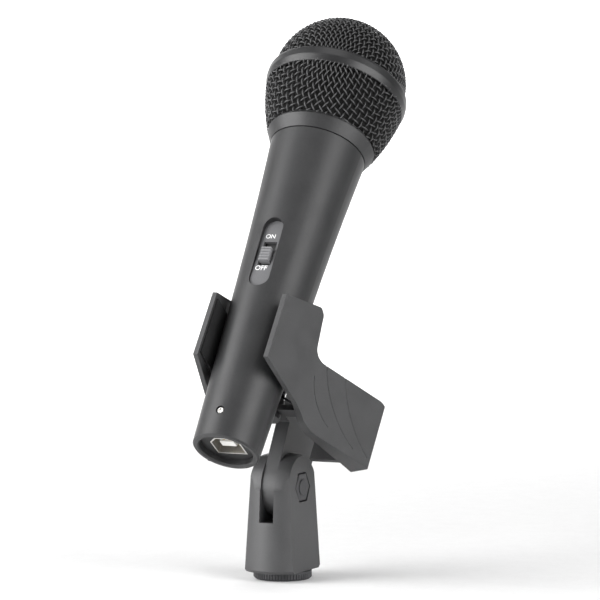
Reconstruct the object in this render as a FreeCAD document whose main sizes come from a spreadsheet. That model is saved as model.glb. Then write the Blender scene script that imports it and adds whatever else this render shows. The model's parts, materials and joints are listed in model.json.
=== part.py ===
import FreeCAD, Part
import math
import os
import re

import Sketcher

# A handheld dynamic microphone with a digital output, held in a spring clip on a swivel base.
# World frame: +Z is up the stand thread, the origin is the thread's mouth, and the swivel bolt
# runs along X. The microphone and the clip are drawn in the microphone's own frame, whose Z is
# the microphone's axis, counted from the tail rim, and whose Y points from the axis to the stem.
# That frame leans by `tilt` about the swivel bolt.

os.makedirs("parts", exist_ok=True)
document = FreeCAD.newDocument("microphone")
Vector = FreeCAD.Vector

# ---- Driving dimensions, in millimetres and degrees ------------------------------------------

DIMENSIONS = {
    # how the pieces stand to each other
    "tilt": 35.5,
    "pivot_height": 34.7,
    "axis_offset": 47.8,
    "pivot_above_tail": 13.1,
    # clearances
    "slip_gap": 0.12,
    "running_gap": 0.05,
    "face_gap": 0.1,
    "cut_margin": 2.0,
    "far": 90.0,
    # handle
    "tail_radius": 12.5,
    "waist_radius": 14.9,
    "waist_height": 67.0,
    "handle_top_radius": 18.6,
    "handle_length": 131.75,
    "handle_wall": 2.4,
    "tail_bore_radius": 10.2,
    "tail_chamfer": 0.6,
    "tail_step": 0.8,
    "insert_seat_height": 23.5,
    "collar_socket_depth": 7.0,
    "collar_socket_radius": 16.4,
    "collar_seat": 1.2,
    # collar and grille
    "collar_height": 5.15,
    "collar_top_radius": 21.05,
    "collar_bore_radius": 14.9,
    "collar_lip_height": 1.7,
    "seam_width": 0.35,
    "seam_depth": 0.5,
    "collar_ledge_rise": 2.2,
    "mesh_thickness": 0.9,
    "bowl_height": 20.1,
    "bowl_top_radius": 27.05,
    "bowl_curve_radius": 89.0,
    "ring_height": 6.25,
    "ring_curve_radius": 6.8,
    "ring_bore_radius": 25.2,
    "dome_radius": 26.0,
    "dome_centre_rise": 1.65,
    "foam_thickness": 2.2,
    "foam_gap": 0.3,
    "foam_overlap": 0.6,
    # capsule
    "capsule_radius": 13.0,
    "capsule_wall": 1.0,
    "capsule_sink": 3.75,
    "capsule_length": 28.0,
    "shock_mount_tall": 4.0,
    "yoke_radius": 11.5,
    "yoke_wall": 2.9,
    "yoke_floor": 1.6,
    "yoke_height": 14.0,
    "magnet_radius": 6.2,
    "magnet_height": 8.5,
    "pole_radius": 7.2,
    "coil_gap": 0.3,
    "coil_wall": 0.8,
    "coil_height": 5.0,
    "coil_stand": 1.4,
    "diaphragm_thickness": 0.3,
    "clamp_width": 1.6,
    "dome_rise": 2.6,
    "grille_plate_thickness": 1.5,
    "face_plate_sink": 2.2,
    "grille_hole_radius": 1.1,
    "grille_hole_circle": 8.0,
    "grille_hole_count": 8,
    # switch
    "switch_height": 77.3,
    "switch_window_length": 29.3,
    "switch_window_width": 8.2,
    "switch_plate_depth": 1.6,
    "switch_plate_thickness": 1.5,
    "switch_slot_length": 10.3,
    "switch_slot_width": 5.4,
    "slider_length": 5.6,
    "slider_rise": 1.6,
    "slider_side_gap": 0.7,
    "slider_rest_gap": 1.3,
    "rib_height": 0.35,
    "rib_count": 5,
    "switch_body_width": 6.4,
    "switch_body_length": 14.0,
    # circuit board and socket
    "board_width": 15.0,
    "board_thickness": 1.2,
    "board_offset": 6.0,
    "board_clearance": 8.0,
    "chip_side": 7.0,
    "chip_thickness": 1.2,
    "chip_low": 44.0,
    "crystal_length": 10.4,
    "crystal_width": 4.0,
    "crystal_tall": 3.2,
    "crystal_low": 56.0,
    "capacitor_radius": 2.5,
    "capacitor_tall": 6.0,
    "capacitor_low": 90.0,
    "capacitor_pitch": 9.0,
    "socket_depth": 2.6,
    "socket_width": 12.0,
    "socket_tall": 10.9,
    "socket_bevel": 2.9,
    "socket_length": 16.0,
    "shell_thickness": 0.5,
    "tongue_width": 5.7,
    "tongue_tall": 3.2,
    "tongue_length": 8.6,
    "tongue_setback": 1.0,
    "contact_width": 1.0,
    "contact_thickness": 0.3,
    "contact_pitch": 2.5,
    "contact_tail": 3.5,
    "contact_setback": 0.6,
    "lead_radius": 0.4,
    "lead_spread": 3.0,
    "lead_overlap": 6.0,
    "screw_height": 10.4,
    "screw_head_radius": 1.45,
    "screw_head_thickness": 1.1,
    "screw_shank_radius": 0.95,
    "screw_sink": 0.5,
    "screw_length": 4.6,
    "cross_width": 0.45,
    "cross_length": 2.0,
    "cross_depth": 0.6,
    "screw_edge": 0.35,
    # clip jaws
    "jaw_low": 31.0,
    "jaw_low_rear": 26.0,
    "jaw_high": 57.0,
    "jaw_high_rear": 66.4,
    "jaw_front": 17.3,
    "jaw_plate": 1.8,
    "jaw_toe_in": 7.9,
    "jaw_bend": 8.0,
    "bend_run": 4.0,
    "least_pad": 0.5,
    "pad_gap": 0.3,
    "pad_margin": 1.4,
    "pad_rib": 0.7,
    "pad_wrap": 1.2,
    "wing_flare": 21.5,
    "wing_low": 19.7,
    "wing_high": 46.9,
    "wing_rise": 2.1,
    "wing_rear": 46.3,
    "wing_end_x": 25.2,
    "wing_end_y": 49.8,
    "wing_corner": 3.6,
    "wing_soft": 0.8,
    "web_inner": 12.0,
    "web_rear": 42.0,
    "web_thickness": 2.0,
    "wing_inner_x": 23.2,
    "groove_radius": 0.3,
    # hinge of the jaws
    "hinge_y": 23.0,
    "pin_radius": 1.5,
    "pin_overhang": 0.5,
    "knuckle_radius": 4.0,
    "knuckle_tall": 2.2,
    "hinge_rise": 8.3,
    "knuckle_gap": 0.3,
    "arm_width": 5.0,
    "stem_knuckle_tall": 3.2,
    "spring_wire": 0.5,
    "spring_radius": 3.0,
    "spring_turns": 3.2,
    "spring_pitch": 1.075,
    # stem
    "tongue_radius": 11.8,
    "stem_thickness": 5.6,
    "stem_front": 33.4,
    "stem_back": 60.2,
    "stem_top": 47.0,
    "stem_step": 36.6,
    "stem_step_width": 1.8,
    # swivel base
    "base_top": 47.6,
    "base_low_radius": 15.4,
    "base_high_radius": 12.8,
    "base_low_flat": 10.1,
    "base_high_flat": 7.7,
    "ear_radius": 12.6,
    "ear_round": 3.4,
    "ear_curve": 16.0,
    "base_edge": 1.0,
    "slot_floor": 22.3,
    "bolt_radius": 3.0,
    "bolt_head_radius": 5.0,
    "bolt_head_thickness": 2.6,
    "head_gap": 0.3,
    "bolt_overhang": 0.3,
    "nut_flats": 10.0,
    "nut_thickness": 3.6,
    "nut_pocket_flats": 10.9,
    "ear_web": 1.9,
    # stand thread
    "flange_radius": 11.0,
    "flange_thickness": 3.2,
    "flange_lip": 0.7,
    "flange_edge": 0.8,
    "knurl_count": 60,
    "knurl_depth": 0.35,
    "knurl_share": 0.72,
    "adapter_radius": 7.9,
    "adapter_top": 14.5,
    "adapter_edge": 0.6,
    "stand_bore_radius": 3.97,
    "insert_radius": 9.1,
    "insert_top": 15.0,
    "driver_slot_width": 1.6,
    "driver_slot_depth": 1.5,
}

sheet = document.addObject("Spreadsheet::Sheet", "Sizes")
for row, (name, size) in enumerate(DIMENSIONS.items(), start=1):
    sheet.set("A%d" % row, name)
    sheet.set("B%d" % row, str(size))
    sheet.setAlias("B%d" % row, name)
document.recompute()

# Derived sizes: formulas of the names above, used in more than one piece.
FORMULAS = {
    "handle_slope": "((waist_radius - tail_radius) / waist_height)",
    "flare_run": "(handle_length - waist_height)",
    "flare_rise": "(handle_top_radius - waist_radius)",
    "flare_radius": ("((flare_run^2 + flare_rise^2) * sqrt(1 + handle_slope^2)"
                     " / (2 * (flare_rise - handle_slope * flare_run)))"),
    "collar_bottom": "(handle_length + face_gap)",
    "collar_slope": "((collar_top_radius - handle_top_radius) / (collar_height - face_gap))",
    "collar_top": "(collar_bottom + collar_height - face_gap)",
    "bowl_top": "(collar_top + bowl_height)",
    "ring_top": "(bowl_top + ring_height)",
    "dome_centre": "(ring_top + dome_centre_rise)",
    "collar_ledge": "(handle_length + collar_ledge_rise)",
    "capsule_bottom": "(handle_length - capsule_sink)",
    "capsule_top": "(capsule_bottom + capsule_length)",
    "board_top": "(capsule_bottom - board_clearance)",
    "window_radius": "(tail_radius + handle_slope * switch_height)",
    "plate_face": "(window_radius - switch_plate_depth)",
    "plate_back": "(plate_face - switch_plate_thickness)",
    "board_back": "(board_offset + board_thickness)",
    "socket_back": "(socket_depth + socket_length)",
    "tongue_face": "(socket_depth + tongue_setback)",
    "tongue_root": "(tongue_face + tongue_length)",
    "slider_low": "(switch_height - switch_slot_length / 2 + slider_rest_gap)",
    "screw_head_face": "(tail_radius + handle_slope * screw_height - screw_sink)",
    "screw_seat": "(screw_head_face - screw_head_thickness)",
    "grip_radius": "(tail_radius + handle_slope * jaw_high_rear)",
    "jaw_inner": "(grip_radius + pad_gap + least_pad)",
    "jaw_outer": "(jaw_inner + jaw_plate)",
    "left_low": "(wing_low + hinge_rise)",
    "right_low": "(left_low + knuckle_tall + knuckle_gap)",
    "stem_low": "(right_low + knuckle_tall + knuckle_gap)",
    "spring_low": "(stem_low + stem_knuckle_tall + knuckle_gap)",
    "left_high": "(wing_high - knuckle_gap - knuckle_tall)",
    "right_high": "(left_high - knuckle_gap - knuckle_tall)",
    "slot_half": "(stem_thickness / 2 + face_gap)",
    "base_bottom": "(flange_thickness + face_gap)",
    "nut_face": "(slot_half + ear_web)",
}


def tied(formula):
    """Write a formula of dimension names as an expression on the spreadsheet."""
    def expand(word):
        name = word.group(0)
        if name in FORMULAS:
            return tied(FORMULAS[name])
        return "Sizes." + name if name in DIMENSIONS else name
    return re.sub(r"[a-z]\w*", expand, str(formula))


def value(formula):
    """Work a formula out to a number."""
    return float(sheet.evalExpression(tied(formula)))


# ---- Placement of the microphone's frame ------------------------------------------------------

TAIL_Y = "-(axis_offset * cos(tilt) + pivot_above_tail * sin(tilt))"
TAIL_Z = "pivot_height + axis_offset * sin(tilt) - pivot_above_tail * cos(tilt)"


def lean(piece):
    """Stand a piece drawn in the microphone's frame where the clip holds it."""
    base = Vector(0, value(TAIL_Y), value(TAIL_Z))
    piece.Placement = FreeCAD.Placement(base, FreeCAD.Rotation(Vector(-1, 0, 0), value("tilt")))
    if piece.TypeId != "Part::Feature":
        piece.setExpression("Placement.Base.y", tied(TAIL_Y))
        piece.setExpression("Placement.Base.z", tied(TAIL_Z))
        piece.setExpression("Placement.Rotation.Angle", tied("tilt * 1deg"))
    return piece


# ---- Drawing helpers --------------------------------------------------------------------------

PIECES = []


def body(name):
    """Start a body whose label names its file."""
    piece = document.addObject("PartDesign::Body", name)
    piece.Label = name
    PIECES.append(piece)
    return piece


def sketch(piece, plane, offset="0"):
    """A sketch on one of the body's own origin planes, moved along the plane's normal."""
    drawing = piece.newObject("Sketcher::SketchObject", piece.Name + "_outline")
    origin = [item for item in piece.Origin.OriginFeatures if item.Role == plane][0]
    drawing.AttachmentSupport = [(origin, "")]
    drawing.MapMode = "FlatFace"
    if offset != "0":
        drawing.setExpression("AttachmentOffset.Base.z", tied(offset))
    return drawing


def pin_down(drawing, item, point, x, y):
    """Hold a point of a sketch at a pair of formulas."""
    for axis, kind, formula in ((-2, "DistanceX", x), (-1, "DistanceY", y)):
        if formula == "0":
            drawing.addConstraint(Sketcher.Constraint("PointOnObject", item, point, axis))
        else:
            size = Sketcher.Constraint(kind, -1, 1, item, point, value(formula))
            index = drawing.addConstraint(size)
            drawing.setExpression("Constraints[%d]" % index, tied(formula))


def arc_between(start, end, radius):
    """The short arc from start to end; a positive radius has its centre on the left."""
    along = end - start
    left = Vector(-along.y, along.x, 0).normalize()
    reach = math.sqrt(max(0, radius * radius - along.Length * along.Length / 4))
    centre = (start + end) * 0.5 + left * math.copysign(reach, radius)
    first, last = (start, end) if radius > 0 else (end, start)
    angles = [math.atan2(point.y - centre.y, point.x - centre.x) for point in (first, last)]
    circle_line = Part.Circle(centre, Vector(0, 0, 1), abs(radius))
    return Part.ArcOfCircle(circle_line, angles[0], angles[1])


def outline(drawing, corners, arcs=None):
    """A closed outline through corners, given as pairs of formulas.

    arcs maps an edge's number to the formula of its signed radius.
    """
    arcs = arcs or {}
    first = drawing.GeometryCount
    points = [Vector(value(x), value(y), 0) for x, y in corners]
    ends = []
    for index, start in enumerate(points):
        end = points[(index + 1) % len(points)]
        if index in arcs:
            radius = value(arcs[index])
            drawing.addGeometry(arc_between(start, end, radius))
            ends.append((1, 2) if radius > 0 else (2, 1))
        else:
            drawing.addGeometry(Part.LineSegment(start, end))
            ends.append((1, 2))
    for index, (x, y) in enumerate(corners):
        following = (index + 1) % len(points)
        join = (first + index, ends[index][1], first + following, ends[following][0])
        drawing.addConstraint(Sketcher.Constraint("Coincident", *join))
        pin_down(drawing, first + index, ends[index][0], x, y)
    for index, radius in arcs.items():
        chord = (points[(index + 1) % len(points)] - points[index]).Length
        if abs(chord - 2 * abs(value(radius))) < 1e-6:
            level = corners[index][1]
            size = Sketcher.Constraint("DistanceY", -1, 1, first + index, 3, value(level))
            formula = level
        else:
            size = Sketcher.Constraint("Radius", first + index, abs(value(radius)))
            formula = "abs(%s)" % radius
        number = drawing.addConstraint(size)
        drawing.setExpression("Constraints[%d]" % number, tied(formula))


def circle(drawing, x, y, radius):
    """A circle whose centre and radius are formulas."""
    centre = Vector(value(x), value(y), 0)
    item = drawing.addGeometry(Part.Circle(centre, Vector(0, 0, 1), value(radius)))
    pin_down(drawing, item, 3, x, y)
    number = drawing.addConstraint(Sketcher.Constraint("Radius", item, value(radius)))
    drawing.setExpression("Constraints[%d]" % number, tied(radius))


def rectangle(drawing, x_low, y_low, x_high, y_high):
    """A rectangle between two corners."""
    outline(drawing, [(x_low, y_low), (x_high, y_low), (x_high, y_high), (x_low, y_high)])


def revolve(piece, corners, arcs=None):
    """Turn an outline of (radius, height) about the body's Z axis."""
    drawing = sketch(piece, "XZ_Plane")
    outline(drawing, corners, arcs)
    feature = piece.newObject("PartDesign::Revolution", piece.Name + "_turned")
    feature.Profile = drawing
    feature.ReferenceAxis = (drawing, ["V_Axis"])
    feature.Angle = 360
    return feature


def pad(piece, drawing, length):
    """Raise a sketch along its plane's normal."""
    feature = piece.newObject("PartDesign::Pad", piece.Name + "_pad")
    feature.Profile = drawing
    feature.setExpression("Length", tied(length))
    return feature


def pocket(piece, drawing, length):
    """Cut a sketch along its plane's normal."""
    feature = piece.newObject("PartDesign::Pocket", piece.Name + "_pocket")
    feature.Profile = drawing
    feature.Reversed = True
    feature.setExpression("Length", tied(length))
    return feature


def fillet(piece, radius, wanted):
    """Round the edges of the body's last feature that the test picks."""
    document.recompute()
    base = piece.Tip
    names = ["Edge%d" % number for number, edge in enumerate(base.Shape.Edges, 1) if wanted(edge)]
    feature = piece.newObject("PartDesign::Fillet", piece.Name + "_round")
    feature.Base = (base, names)
    feature.setExpression("Radius", tied(radius))
    return feature


def around(piece, feature, count, axis="Z_Axis"):
    """Repeat a feature about one of the body's own axes."""
    origin = [item for item in piece.Origin.OriginFeatures if item.Role == axis][0]
    pattern = piece.newObject("PartDesign::PolarPattern", piece.Name + "_ring")
    pattern.Originals = [feature]
    pattern.Axis = (origin, [""])
    pattern.Angle = 360
    pattern.setExpression("Occurrences", tied(count))
    piece.Tip = pattern
    return pattern


def turned(name, corners, arcs=None, leaning=True):
    """A whole piece made by turning one outline."""
    piece = body(name)
    revolve(piece, corners, arcs)
    return lean(piece) if leaning else piece


# ---- Microphone: handle, collar and grille ----------------------------------------------------

def make_handle():
    """Die-cast tapered tube: a straight cone to the waist, then a gentle flare."""
    piece = body("handle")
    corners = [
        ("tail_bore_radius + tail_chamfer", "0"),
        ("tail_radius - tail_chamfer", "0"),
        ("tail_radius + handle_slope * tail_chamfer", "tail_chamfer"),
        ("waist_radius", "waist_height"),
        ("handle_top_radius", "handle_length"),
        ("collar_socket_radius", "handle_length"),
        ("collar_socket_radius", "handle_length - collar_socket_depth"),
        ("collar_socket_radius - collar_seat", "handle_length - collar_socket_depth"),
        ("waist_radius - handle_wall", "waist_height"),
        ("tail_bore_radius + tail_step", "insert_seat_height"),
        ("tail_bore_radius", "insert_seat_height"),
        ("tail_bore_radius", "tail_chamfer"),
    ]
    revolve(piece, corners, {3: "-flare_radius"})
    stadium_cut(piece, "switch_height", "switch_window_length", "switch_window_width",
                "plate_back - cut_margin", "window_radius + cut_margin")
    hole = sketch(piece, "XZ_Plane", "screw_seat")
    circle(hole, "0", "screw_height", "screw_head_radius + slip_gap")
    pocket(piece, hole, "tail_radius")
    shank = sketch(piece, "XZ_Plane", "tail_bore_radius / 2")
    circle(shank, "0", "screw_height", "screw_shank_radius")
    pocket(piece, shank, "tail_radius")
    return lean(piece)


def stadium_outline(drawing, height, length, width):
    """A slot with round ends, standing along Z."""
    half = "(%s) / 2" % width
    reach = "((%s) - (%s)) / 2" % (length, width)
    corners = [(half, "%s - %s" % (height, reach)), (half, "%s + %s" % (height, reach)),
               ("-" + half, "%s + %s" % (height, reach)), ("-" + half, "%s - %s" % (height, reach))]
    outline(drawing, corners, {1: half, 3: half})


def stadium_cut(piece, height, length, width, start, end):
    """Cut a round-ended slot in the -Y side between two distances from the axis."""
    drawing = sketch(piece, "XZ_Plane", start)
    stadium_outline(drawing, height, length, width)
    return pocket(piece, drawing, "(%s) - (%s)" % (end, start))


def make_collar():
    """Conical collar that screws into the handle and carries the grille."""
    return turned("collar", [
        ("collar_bore_radius", "handle_length - collar_socket_depth + face_gap"),
        ("collar_socket_radius", "handle_length - collar_socket_depth + face_gap"),
        ("collar_socket_radius", "collar_bottom"),
        ("handle_top_radius - seam_depth", "collar_bottom"),
        ("handle_top_radius - seam_depth", "collar_bottom + seam_width"),
        ("handle_top_radius + seam_width * collar_slope", "collar_bottom + seam_width"),
        ("collar_top_radius", "collar_top"),
        ("collar_top_radius - mesh_thickness - slip_gap", "collar_top"),
        ("collar_top_radius - mesh_thickness - slip_gap", "collar_top + collar_lip_height"),
        ("handle_top_radius - face_gap", "collar_top + collar_lip_height"),
        ("handle_top_radius - face_gap", "collar_ledge"),
        ("collar_bore_radius", "collar_ledge"),
    ])


def make_grille_bowl():
    """Lower half of the woven grille, a closed shell of the mesh's thickness."""
    return turned("grille_bowl", [
        ("collar_top_radius", "collar_top"),
        ("bowl_top_radius", "bowl_top"),
        ("bowl_top_radius - mesh_thickness", "bowl_top"),
        ("collar_top_radius - mesh_thickness", "collar_top"),
    ], {0: "bowl_curve_radius", 2: "-bowl_curve_radius"})


def make_grille_ring():
    """Crowned metal band that joins the two halves of the grille."""
    return turned("grille_ring", [
        ("ring_bore_radius", "bowl_top"),
        ("bowl_top_radius + running_gap", "bowl_top"),
        ("bowl_top_radius + running_gap", "ring_top"),
        ("ring_bore_radius", "ring_top"),
    ], {1: "ring_curve_radius"})


def make_grille_dome():
    """Upper half of the woven grille, a spherical shell of the mesh's thickness."""
    inner = "(dome_radius - mesh_thickness)"
    return turned("grille_dome", [
        ("sqrt(dome_radius^2 - dome_centre_rise^2)", "ring_top"),
        ("0", "dome_centre + dome_radius"),
        ("0", "dome_centre + " + inner),
        ("sqrt(%s^2 - dome_centre_rise^2)" % inner, "ring_top"),
    ], {0: "dome_radius", 2: "-" + inner})


def make_foam_liner():
    """Foam windscreen that lines the dome."""
    outer = "(dome_radius - mesh_thickness - foam_gap)"
    inner = "(dome_radius - mesh_thickness - foam_gap - foam_thickness)"
    low = "(dome_centre - ring_top + ring_height - foam_overlap)"
    return turned("foam_liner", [
        ("sqrt(%s^2 - %s^2)" % (outer, low), "dome_centre - " + low),
        ("0", "dome_centre + " + outer),
        ("0", "dome_centre + " + inner),
        ("sqrt(%s^2 - %s^2)" % (inner, low), "dome_centre - " + low),
    ], {0: outer, 2: "-" + inner})


# ---- Microphone: capsule ----------------------------------------------------------------------

def make_capsule():
    """Moving-coil capsule: cup, yoke, magnet, pole, coil, diaphragm and face plate."""
    floor = "(capsule_bottom + capsule_wall)"
    bore = "capsule_radius - capsule_wall"
    turned("shock_mount", [
        ("capsule_radius", "collar_ledge"),
        ("handle_top_radius - face_gap", "collar_ledge"),
        ("handle_top_radius - face_gap", "collar_ledge + shock_mount_tall"),
        ("capsule_radius", "collar_ledge + shock_mount_tall"),
    ])
    turned("capsule_cup", [
        ("0", "capsule_bottom"),
        ("capsule_radius", "capsule_bottom"),
        ("capsule_radius", "capsule_top"),
        (bore, "capsule_top"),
        (bore, floor),
        ("0", floor),
    ])
    yoke_top = "(%s + yoke_height)" % floor
    turned("yoke", [
        ("0", floor),
        ("yoke_radius", floor),
        ("yoke_radius", yoke_top),
        ("yoke_radius - yoke_wall", yoke_top),
        ("yoke_radius - yoke_wall", floor + " + yoke_floor"),
        ("0", floor + " + yoke_floor"),
    ])
    magnet_top = "(%s + yoke_floor + magnet_height)" % floor
    turned("magnet", [
        ("0", floor + " + yoke_floor"),
        ("magnet_radius", floor + " + yoke_floor"),
        ("magnet_radius", magnet_top),
        ("0", magnet_top),
    ])
    turned("pole_piece", [
        ("0", magnet_top),
        ("pole_radius", magnet_top),
        ("pole_radius", yoke_top),
        ("0", yoke_top),
    ])
    seat = "(%s + coil_stand)" % yoke_top
    turned("voice_coil", [
        ("pole_radius + coil_gap", seat + " - coil_height"),
        ("pole_radius + coil_gap + coil_wall", seat + " - coil_height"),
        ("pole_radius + coil_gap + coil_wall", seat),
        ("pole_radius + coil_gap", seat),
    ])
    dome_edge = "(pole_radius + coil_gap + coil_wall)"
    crown = "((%s^2 + dome_rise^2) / (2 * dome_rise))" % dome_edge
    turned("diaphragm", [
        ("0", seat + " + dome_rise"),
        (dome_edge, seat),
        ("capsule_radius - capsule_wall - face_gap", seat),
        ("capsule_radius - capsule_wall - face_gap", seat + " + diaphragm_thickness"),
        (dome_edge, seat + " + diaphragm_thickness"),
        ("0", seat + " + dome_rise + diaphragm_thickness"),
    ], {0: "-" + crown, 4: crown})
    piece = body("face_plate")
    disc = sketch(piece, "XY_Plane", "capsule_top - face_plate_sink")
    circle(disc, "0", "0", bore)
    pad(piece, disc, "grille_plate_thickness")
    holes = sketch(piece, "XY_Plane", "capsule_top - face_plate_sink")
    circle(holes, "grille_hole_circle", "0", "grille_hole_radius")
    opening = pocket(piece, holes, "grille_plate_thickness")
    document.recompute()
    around(piece, opening, "grille_hole_count")
    lean(piece)
    piece = body("clamp_ring")
    ring = sketch(piece, "XY_Plane", seat + " + diaphragm_thickness")
    circle(ring, "0", "0", bore + " - face_gap")
    circle(ring, "0", "0", bore + " - clamp_width")
    pad(piece, ring, "capsule_top - face_plate_sink - (%s + diaphragm_thickness)" % seat)
    lean(piece)


# ---- Microphone: switch, board and socket -----------------------------------------------------

def make_switch():
    """Round-ended plate in the handle's window, with a ribbed slider on a switch body."""
    plate = body("switch_plate")
    drawing = sketch(plate, "XZ_Plane", "plate_back")
    stadium_outline(drawing, "switch_height", "switch_window_length - 2 * slip_gap",
                    "switch_window_width - 2 * slip_gap")
    pad(plate, drawing, "switch_plate_thickness")
    slot = sketch(plate, "XZ_Plane", "plate_back - cut_margin")
    low = "switch_height - switch_slot_length / 2"
    rectangle(slot, "-switch_slot_width / 2", low, "switch_slot_width / 2",
              "switch_height + switch_slot_length / 2")
    pocket(plate, slot, "switch_plate_thickness + 2 * cut_margin")
    lean(plate)

    slider = body("switch_slider")
    half = "(switch_slot_width / 2 - slider_side_gap)"
    block = sketch(slider, "XZ_Plane", "plate_back + face_gap")
    rectangle(block, "-" + half, "slider_low", half, "slider_low + slider_length")
    pad(slider, block, "switch_plate_thickness + slider_rise - face_gap")
    pitch = "(slider_length / (rib_count * 2 - 1))"
    for number in range(int(value("rib_count"))):
        rib = sketch(slider, "XZ_Plane", "plate_face + slider_rise")
        start = "slider_low + %d * %s" % (2 * number, pitch)
        rectangle(rib, "-" + half, start, half, "%s + %s" % (start, pitch))
        pad(slider, rib, "rib_height")
    lean(slider)

    block = body("switch_body")
    drawing = sketch(block, "XZ_Plane", "board_back")
    rectangle(drawing, "-switch_body_width / 2", "switch_height - switch_body_length / 2",
              "switch_body_width / 2", "switch_height + switch_body_length / 2")
    pad(block, drawing, "plate_back - board_back")
    lean(block)


def box_on(piece, plane, start, length, corners):
    """Add a rectangular block to a body."""
    drawing = sketch(piece, plane, start)
    rectangle(drawing, *corners)
    return pad(piece, drawing, length)


def make_board():
    """Long circuit board on the insert, with its parts and the leads to the capsule."""
    board = body("circuit_board")
    box_on(board, "XZ_Plane", "board_offset", "board_thickness",
           ("-board_width / 2", "insert_seat_height", "board_width / 2", "board_top"))
    lean(board)

    chip = body("converter_chip")
    box_on(chip, "XZ_Plane", "board_offset - chip_thickness", "chip_thickness",
           ("-chip_side / 2", "chip_low", "chip_side / 2", "chip_low + chip_side"))
    lean(chip)
    crystal = body("crystal_can")
    box_on(crystal, "XZ_Plane", "board_offset - crystal_tall", "crystal_tall",
           ("-crystal_length / 2", "crystal_low", "crystal_length / 2",
            "crystal_low + crystal_width"))
    lean(crystal)

    capacitors = document.addObject("Part::MultiFuse", "capacitors")
    capacitors.Shapes = [capacitor_can(number) for number in range(2)]
    capacitors.Label = "capacitors"
    PIECES.append(lean(capacitors))

    leads = document.addObject("Part::MultiFuse", "capsule_leads")
    leads.Shapes = [lead(side) for side in (-1, 1)]
    leads.Label = "capsule_leads"
    PIECES.append(lean(leads))


def capacitor_can(number):
    """One of the cans in a row on the board, standing off its face towards the axis."""
    can = document.addObject("Part::Cylinder", "can")
    can.setExpression("Radius", tied("capacitor_radius"))
    can.setExpression("Height", tied("capacitor_tall"))
    can.Placement.Rotation = FreeCAD.Rotation(Vector(-1, 0, 0), 90)
    can.setExpression("Placement.Base.y", tied("-board_offset"))
    can.setExpression("Placement.Base.z", tied("capacitor_low + %d * capacitor_pitch" % number))
    return can


def lead(side):
    """A stiff wire along the board's face, from its top up to the capsule's floor."""
    wire = document.addObject("Part::Cylinder", "lead")
    wire.setExpression("Radius", tied("lead_radius"))
    wire.setExpression("Height", tied("capsule_bottom - board_top + lead_overlap"))
    wire.setExpression("Placement.Base.x", tied("%d * lead_spread" % side))
    wire.setExpression("Placement.Base.y", tied("-board_offset + lead_radius"))
    wire.setExpression("Placement.Base.z", tied("board_top - lead_overlap"))
    return wire


def socket_outline(drawing, inset):
    """The socket's outline: a rectangle with two bevelled corners on the -Y side."""
    x = "(socket_width / 2 - (%s))" % inset
    y = "(socket_tall / 2 - (%s))" % inset
    bevel = "(socket_bevel - (2 - sqrt(2)) * (%s))" % inset
    outline(drawing, [
        ("-%s + %s" % (x, bevel), "-" + y),
        ("%s - %s" % (x, bevel), "-" + y),
        (x, "-%s + %s" % (y, bevel)),
        (x, y),
        ("-" + x, y),
        ("-" + x, "-%s + %s" % (y, bevel)),
    ])


def make_socket():
    """Square-bodied data socket held in a plug-in insert at the tail."""
    insert = body("tail_insert")
    disc = sketch(insert, "XY_Plane", "socket_depth")
    circle(disc, "0", "0", "tail_bore_radius - slip_gap")
    socket_outline(disc, "-running_gap")
    pad(insert, disc, "insert_seat_height - socket_depth")
    hole = sketch(insert, "XZ_Plane", "screw_seat + screw_head_thickness - screw_length")
    circle(hole, "0", "screw_height", "screw_shank_radius")
    pocket(insert, hole, "screw_length")
    lean(insert)

    shell = body("socket_shell")
    ring = sketch(shell, "XY_Plane", "socket_depth")
    socket_outline(ring, "0")
    socket_outline(ring, "shell_thickness")
    pad(shell, ring, "socket_length")
    lean(shell)

    core = body("socket_core")
    block = sketch(core, "XY_Plane", "tongue_root")
    socket_outline(block, "shell_thickness")
    pad(core, block, "socket_back - tongue_root")
    box_on(core, "XY_Plane", "tongue_face", "tongue_length",
           ("-tongue_width / 2", "-tongue_tall / 2", "tongue_width / 2", "tongue_tall / 2"))
    for side in (-1, 1):
        tail = sketch(core, "XY_Plane", "tongue_root - 1")
        for place in (-1, 1):
            contact_outline(tail, side, place)
        pocket(core, tail, "socket_length")
    lean(core)

    strips = [contact(side, place) for side in (-1, 1) for place in (-1, 1)]
    contacts = document.addObject("Part::MultiFuse", "socket_contacts")
    contacts.Shapes = strips
    contacts.Label = "socket_contacts"
    PIECES.append(lean(contacts))

    screw = body("tail_screw")
    revolve(screw, [
        ("0", "0"), ("screw_shank_radius", "0"),
        ("screw_shank_radius", "screw_length - screw_head_thickness"),
        ("screw_head_radius", "screw_length - screw_head_thickness"),
        ("screw_head_radius", "screw_length - screw_edge"),
        ("screw_head_radius - screw_edge", "screw_length"),
        ("0", "screw_length"),
    ])
    for length, width in (("cross_width", "cross_length"), ("cross_length", "cross_width")):
        slot = sketch(screw, "XY_Plane", "screw_length - cross_depth")
        rectangle(slot, "-(%s) / 2" % length, "-(%s) / 2" % width,
                  "(%s) / 2" % length, "(%s) / 2" % width)
        pocket(screw, slot, "cut_margin")
    depth = value("screw_head_face - screw_length")
    across = FreeCAD.Placement(Vector(0, -depth, value("screw_height")),
                               FreeCAD.Rotation(Vector(1, 0, 0), 90))
    lean(screw)
    screw.setExpression("Placement.Base.y", None)
    screw.setExpression("Placement.Base.z", None)
    screw.setExpression("Placement.Rotation.Angle", None)
    screw.Placement = screw.Placement.multiply(across)


def contact_outline(drawing, side, place):
    """The section of one contact strip on the tongue."""
    middle = "%d * contact_pitch / 2" % place
    low = "tongue_tall / 2" if side > 0 else "-tongue_tall / 2 - contact_thickness"
    rectangle(drawing, "%s - contact_width / 2" % middle, low,
              "%s + contact_width / 2" % middle, low + " + contact_thickness")


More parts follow.
